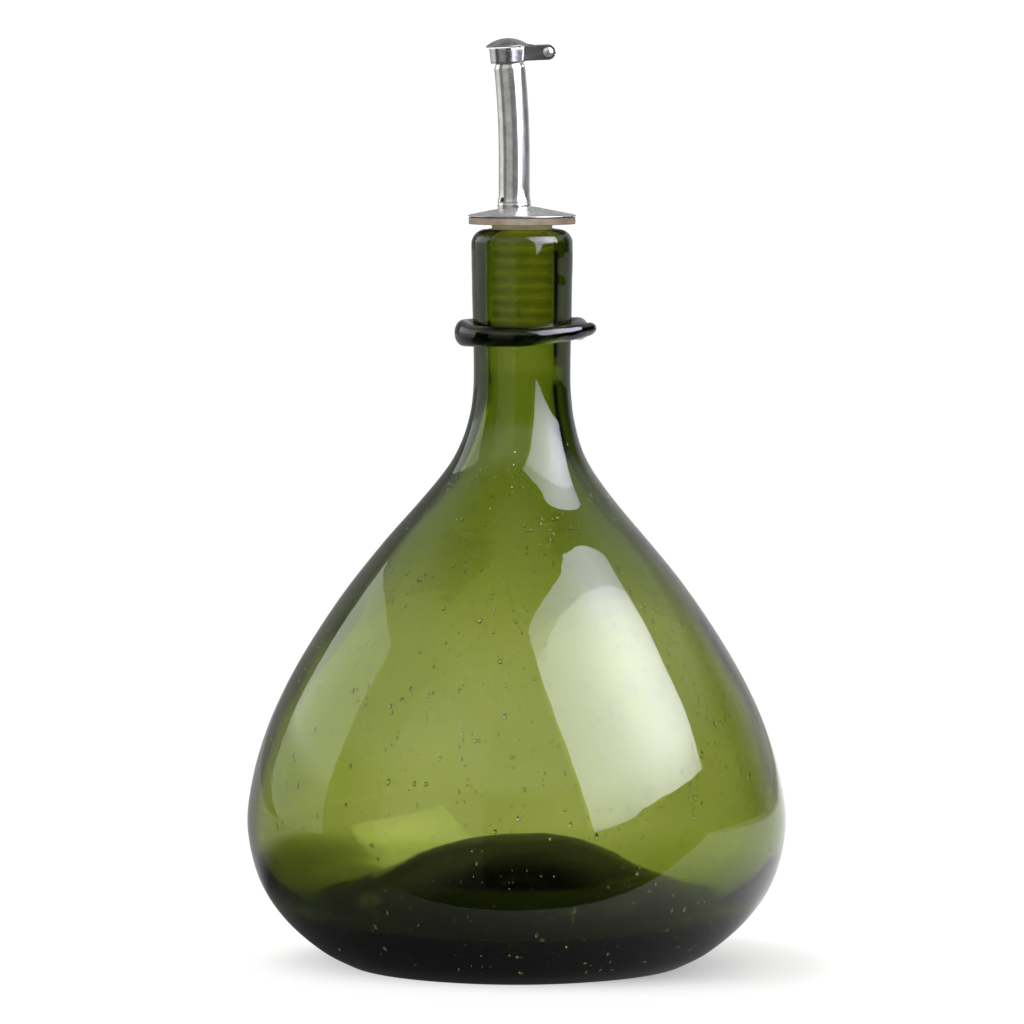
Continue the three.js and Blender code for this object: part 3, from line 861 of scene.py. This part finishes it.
def make_camera():
    """A long lens in front of the bottle, a little above it."""
    camera = bpy.data.cameras.new("camera")
    camera.lens = CAMERA_LENS
    camera.sensor_width = 36
    camera.clip_end = 30
    piece = bpy.data.objects.new("camera", camera)
    piece.location = CAMERA_PLACE
    piece.rotation_euler = (math.radians(90 - CAMERA_DIP), 0, 0)
    scene.collection.objects.link(piece)
    scene.camera = piece


def test_depth(tree, light, depth):
    """A socket that is 1 where the light path has a depth of that kind."""
    seen = tree.nodes.new("ShaderNodeMath")
    seen.operation = "GREATER_THAN"
    seen.inputs[1].default_value = 0.5
    tree.links.new(light.outputs[depth], seen.inputs[0])
    return seen.outputs[0]


def reflection_test(tree):
    """A socket that is 1 for what is seen in a reflection, and the light path node."""
    light = tree.nodes.new("ShaderNodeLightPath")
    return test_depth(tree, light, "Glossy Depth"), light


def step_between(tree, value, low, high, to_low, to_high):
    """A smooth step of a socket's value from one level to another."""
    node = tree.nodes.new("ShaderNodeMapRange")
    node.interpolation_type = "SMOOTHSTEP"
    for name, number in (("From Min", low), ("From Max", high),
                         ("To Min", to_low), ("To Max", to_high)):
        node.inputs[name].default_value = number
    tree.links.new(value, node.inputs["Value"])
    return node.outputs["Result"]


def times(tree, a, b):
    """Two sockets multiplied."""
    node = tree.nodes.new("ShaderNodeMath")
    node.operation = "MULTIPLY"
    tree.links.new(a, node.inputs[0])
    tree.links.new(b, node.inputs[1])
    return node.outputs[0]


ROOM_LEFT = 0.26
ROOM_RIGHT = 0.55
BACKGROUND_LEVEL = 1.05  # just over white
LIGHT_LEVEL = 2.0  # what surfaces that scatter light get
BEHIND_GLASS_LEVEL = 4.4  # what they get where it comes through glass


def make_world():
    """White for the eye, and a dim room for what is reflected on the glass or inside it.

    Seen through the glass it is white level with the bottle and darker overhead. What scatters
    light behind the glass, such as the plug, is lit more to make up for the glass.
    """
    world = bpy.data.worlds.new("studio")
    scene.world = world
    world.use_nodes = True
    tree = world.node_tree
    tree.nodes.clear()
    out = tree.nodes.new("ShaderNodeOutputWorld")
    reflected, light = reflection_test(tree)
    direction = tree.nodes.new("ShaderNodeTexCoord").outputs["Generated"]
    split = tree.nodes.new("ShaderNodeSeparateXYZ")
    tree.links.new(direction, split.inputs[0])

    def spread(value, *levels):
        return step_between(tree, value, *levels)

    def mix(share, a, b):
        node = tree.nodes.new("ShaderNodeMix")
        node.data_type = "FLOAT"
        for socket, value in ((node.inputs[0], share), (node.inputs[2], a), (node.inputs[3], b)):
            if isinstance(value, bpy.types.NodeSocket):
                tree.links.new(value, socket)
            else:
                socket.default_value = value
        return node.outputs[0]

    x, y, z = split.outputs
    overhead = spread(x, -0.3, 0.5, 0.1, 0.9)
    high = spread(z, 0.25, 0.8, 0.0, 1.0)
    through = mix(high, 1.0, overhead)

    backdrop = mix(spread(x, -0.3, 0.3, 0.0, 1.0), ROOM_LEFT, ROOM_RIGHT)
    behind = times(tree, spread(y, 0.55, 0.85, 0.0, 1.0), spread(z, 0.35, 0.7, 1.0, 0.0))
    above = spread(z, 0.92, 0.98, 0.03, 0.25)
    upper_walls = times(tree, spread(z, 0.3, 0.5, 0.0, 1.0), spread(z, 0.7, 0.95, 1.0, 0.0))
    room = mix(behind, mix(upper_walls, above, 0.62), backdrop)

    for_glass = mix(reflected, through, room)
    for_plug = mix(test_depth(tree, light, "Diffuse Depth"), for_glass, BEHIND_GLASS_LEVEL)
    for_all = mix(light.outputs["Is Diffuse Ray"], for_plug, LIGHT_LEVEL)
    level = mix(light.outputs["Is Camera Ray"], for_all, BACKGROUND_LEVEL)
    background = tree.nodes.new("ShaderNodeBackground")
    tree.links.new(level, background.inputs["Strength"])
    background.inputs["Color"].default_value = (1, 1, 1, 1)
    tree.links.new(background.outputs[0], out.inputs["Surface"])
    world.cycles.sampling_method = "NONE"


def make_card(name, corners, colour, strength, rows, columns=((0, 1), (1, 1))):
    """A lit card that only shows in reflections.

    The corners are bottom left, bottom right, top right and top left. Each row is a share of
    the way up and the brightness there, and each column a share of the way across.
    """
    low_left, low_right, high_right, high_left = (Vector(c) for c in corners)
    vertices, faces, levels = [], [], []
    for up, row_level in rows:
        left, right = low_left.lerp(high_left, up), low_right.lerp(high_right, up)
        for across, column_level in columns:
            vertices.append(left.lerp(right, across))
            levels.append(strength * row_level * column_level)
    width = len(columns)
    for i in range(len(rows) - 1):
        for k in range(width - 1):
            a = i * width + k
            faces.append((a, a + 1, a + width + 1, a + width))
    piece = new_object(name, vertices, faces)
    glow = piece.data.attributes.new("glow", "FLOAT", "POINT")
    glow.data.foreach_set("value", levels)
    material = bpy.data.materials.new(name)
    material.use_nodes = True
    tree = material.node_tree
    tree.nodes.clear()
    out = tree.nodes.new("ShaderNodeOutputMaterial")
    reflected, _ = reflection_test(tree)
    emission = tree.nodes.new("ShaderNodeEmission")
    emission.inputs["Color"].default_value = (*colour, 1)
    attribute = tree.nodes.new("ShaderNodeAttribute")
    attribute.attribute_name = "glow"
    tree.links.new(attribute.outputs["Fac"], emission.inputs["Strength"])
    clear = tree.nodes.new("ShaderNodeBsdfTransparent")
    mix = tree.nodes.new("ShaderNodeMixShader")
    tree.links.new(reflected, mix.inputs[0])
    tree.links.new(clear.outputs[0], mix.inputs[1])
    tree.links.new(emission.outputs[0], mix.inputs[2])
    tree.links.new(mix.outputs[0], out.inputs["Surface"])
    material.cycles.emission_sampling = "NONE"
    piece.data.materials.append(material)
    piece.visible_camera = False
    piece.visible_diffuse = False
    piece.visible_shadow = False
    piece.visible_volume_scatter = False


def away(azimuth, elevation, distance, height=0.08):
    """A point seen from the bottle, azimuth 0 towards the camera and + to the right."""
    a, e = math.radians(azimuth), math.radians(elevation)
    return (distance * math.sin(a) * math.cos(e), -distance * math.cos(a) * math.cos(e),
            height + distance * math.sin(e))


def make_cards():
    """A large softbox at the right, a card at the left and a grey one left of the camera."""
    reach = 0.9
    softbox = [(0.53, -0.85, 0.07), (1.557, 0.032, 0.454), (1.109, 0.381, 1.274),
               (0.082, -0.501, 0.89)]
    make_card("softbox", [(x * reach, y * reach, z * reach + 0.08) for x, y, z in softbox],
              (0.83, 0.815, 1.0), 14.4,
              [(0, 0.56), (0.13, 0.76), (0.25, 0.97), (0.4, 1.02), (0.6, 1), (0.8, 0.92),
               (0.86, 0.87), (0.88, 0.58), (1, 0.5)],
              [(0, 0.45), (0.25, 0.66), (0.44, 0.93), (0.62, 0.95), (0.85, 0.75), (1, 0.55)])
    make_card("left_card", [away(-134, 2, 1.6), away(-87, -9, 1.2), away(-92, 41, 1.5),
                            away(-140, 26, 1.6)], (0.97, 1.0, 0.99), 1.7,
              [(0, 0.38), (0.3, 0.48), (0.42, 1), (1, 1)])
    make_card("grey_card", [away(-60, -35, 1.6), away(-14, -35, 1.6), away(-14, 52, 1.6),
                            away(-60, 52, 1.6)], (1.0, 0.97, 0.93), 0.8,
              [(0, 0.1), (0.4, 0.14), (0.42, 0.4), (0.6, 0.4), (0.7, 1.2), (0.82, 1.1), (1, 0.55)])


def make_floor():
    """A white table whose front edge is just before the bottle.

    It has three brightnesses: to the eye, seen through the glass, and in a reflection. Each one
    changes with the place, so that the clear glass gets dark edges and a dark base: seen through
    the glass it holds a painted shadow behind the bottle at the left and painted shade under it,
    and in a reflection it is a painted pool of light, bright at the right and dark at the left.
    """
    front, back, side = -0.092, 6.0, 4.0
    piece = new_object("floor", [(-side, front, 0), (side, front, 0), (side, back, 0),
                                 (-side, back, 0)], [(0, 1, 2, 3)])
    material = bpy.data.materials.new("white_table")
    material.use_nodes = True
    tree = material.node_tree
    shader = tree.nodes["Principled BSDF"]
    shader.inputs["Base Color"].default_value = (0.6, 0.6, 0.6, 1)
    shader.inputs["Roughness"].default_value = 0.9
    shader.inputs["Specular IOR Level"].default_value = 0.0
    reflected, light = reflection_test(tree)
    place = tree.nodes.new("ShaderNodeTexCoord").outputs["Object"]

    def distance(centre, size):
        shifted = tree.nodes.new("ShaderNodeMapping")
        shifted.vector_type = "TEXTURE"
        shifted.inputs["Location"].default_value = centre
        shifted.inputs["Scale"].default_value = size
        tree.links.new(place, shifted.inputs["Vector"])
        length = tree.nodes.new("ShaderNodeVectorMath")
        length.operation = "LENGTH"
        tree.links.new(shifted.outputs[0], length.inputs[0])
        return length.outputs["Value"]

    def emission(strength):
        node = tree.nodes.new("ShaderNodeEmission")
        tree.links.new(strength, node.inputs["Strength"])
        return node.outputs[0]

    def blend(share, a, b):
        node = tree.nodes.new("ShaderNodeMixShader")
        for socket, value in zip(node.inputs, (share, a, b)):
            tree.links.new(value, socket)
        return node.outputs[0]

    from_middle = distance((0, 0, 0), (1, 1, 1))
    split = tree.nodes.new("ShaderNodeSeparateXYZ")
    tree.links.new(place, split.inputs[0])
    # painted reflection: in the glass the table is a pool of light, bright at the right, dark at
    # the left and close to the bottle
    near = times(tree, step_between(tree, split.outputs["X"], -0.15, 0.2, 0.04, 0.95),
                 step_between(tree, from_middle, 0.05, 0.11, 0.2, 1.15))
    fading = times(tree, near, step_between(tree, from_middle, 0.7, 1.6, 1.0, 0.3))
    behind = step_between(tree, split.outputs["Y"], 0.02, 0.15, 0.0, 0.42)
    mirrored = tree.nodes.new("ShaderNodeMath")
    mirrored.operation = "MAXIMUM"
    tree.links.new(fading, mirrored.inputs[0])
    tree.links.new(behind, mirrored.inputs[1])
    # painted shadow behind the bottle at the left, and painted shade right under it, as seen
    # through the glass
    dark_side = distance((-0.06, 0.09, 0), (0.07, 0.105, 1))
    seen_through = times(tree, step_between(tree, dark_side, 0.2, 1.35, 0.5, 1.12),
                         step_between(tree, from_middle, 0.045, 0.075, 0.15, 1.0))
    white = tree.nodes.new("ShaderNodeEmission")
    shadow = distance((0.045, 0.02, 0), (1.4, 0.8, 1))
    share = step_between(tree, shadow, 0.055, 0.115, 0.4, 0.96)
    table = blend(share, shader.outputs[0], white.outputs[0])
    behind_glass = test_depth(tree, light, "Transmission Depth")
    direct = blend(behind_glass, table, emission(seen_through))
    surface = blend(reflected, direct, emission(mirrored.outputs[0]))
    tree.links.new(surface, tree.nodes["Material Output"].inputs["Surface"])
    material.cycles.emission_sampling = "NONE"
    piece.data.materials.append(material)


def make_lamp(name, place, target, size, power):
    """A square lamp that only lights, and is never seen or mirrored."""
    lamp = bpy.data.lights.new(name, "AREA")
    lamp.shape = "SQUARE"
    lamp.size = size
    lamp.energy = power
    piece = bpy.data.objects.new(name, lamp)
    piece.location = place
    piece.rotation_euler = (Vector(target) - Vector(place)).to_track_quat("-Z", "Y").to_euler()
    piece.visible_camera = False
    piece.visible_glossy = False
    piece.visible_transmission = False
    scene.collection.objects.link(piece)


make_camera()
make_bottle()
make_neck_ring()
make_stopper()
make_disc()
make_pour_tube()
carry_vent_tube()
make_collar()
make_rivet()
make_lid()
make_world()
make_cards()
make_floor()
make_lamp("top_lamp", (-0.35, 0.1, 1.3), (0, 0, 0.1), 0.5, 8)
scene.view_settings.view_transform = "Standard"
scene.cycles.max_bounces = 24
scene.cycles.transmission_bounces = 20
scene.cycles.glossy_bounces = 8
